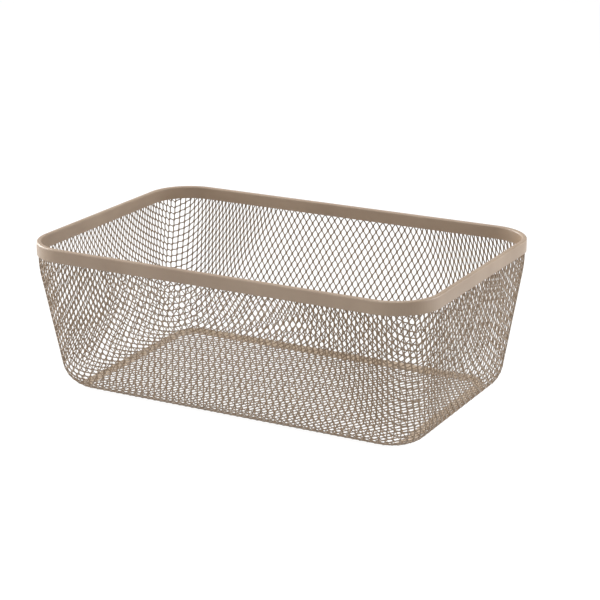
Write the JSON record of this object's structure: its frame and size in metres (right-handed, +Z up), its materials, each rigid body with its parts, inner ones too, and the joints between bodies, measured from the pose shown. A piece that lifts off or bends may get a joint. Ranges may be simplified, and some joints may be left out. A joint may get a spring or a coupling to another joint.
{
  "type": "mesh storage basket",
  "caption": "Open-topped tapered storage basket pressed from painted steel diamond mesh, with rounded corners, a folded steel rim and a flat steel band round its floor.",
  "frame": {"origin": "middle of the underside of the floor, on the surface that the basket stands on", "axes": "+X along the length, +Y along the width towards the back wall, +Z up out of the open top"},
  "size_m": [0.4, 0.267, 0.143],
  "materials": {
    "rim_paint": "satin taupe powder coat",
    "mesh_paint": "satin taupe powder coat on pressed mesh"
  },
  "bodies": {
    "root": {"rim_band": "rim_paint", "base_band": "rim_paint", "floor_panel": "mesh_paint", "front_wall": "mesh_paint", "back_wall": "mesh_paint", "left_wall": "mesh_paint", "right_wall": "mesh_paint", "front_bend": "mesh_paint", "back_bend": "mesh_paint", "left_bend": "mesh_paint", "right_bend": "mesh_paint", "corner_front_left": "mesh_paint", "corner_front_right": "mesh_paint", "corner_back_left": "mesh_paint", "corner_back_right": "mesh_paint"}
  },
  "joints": []
}
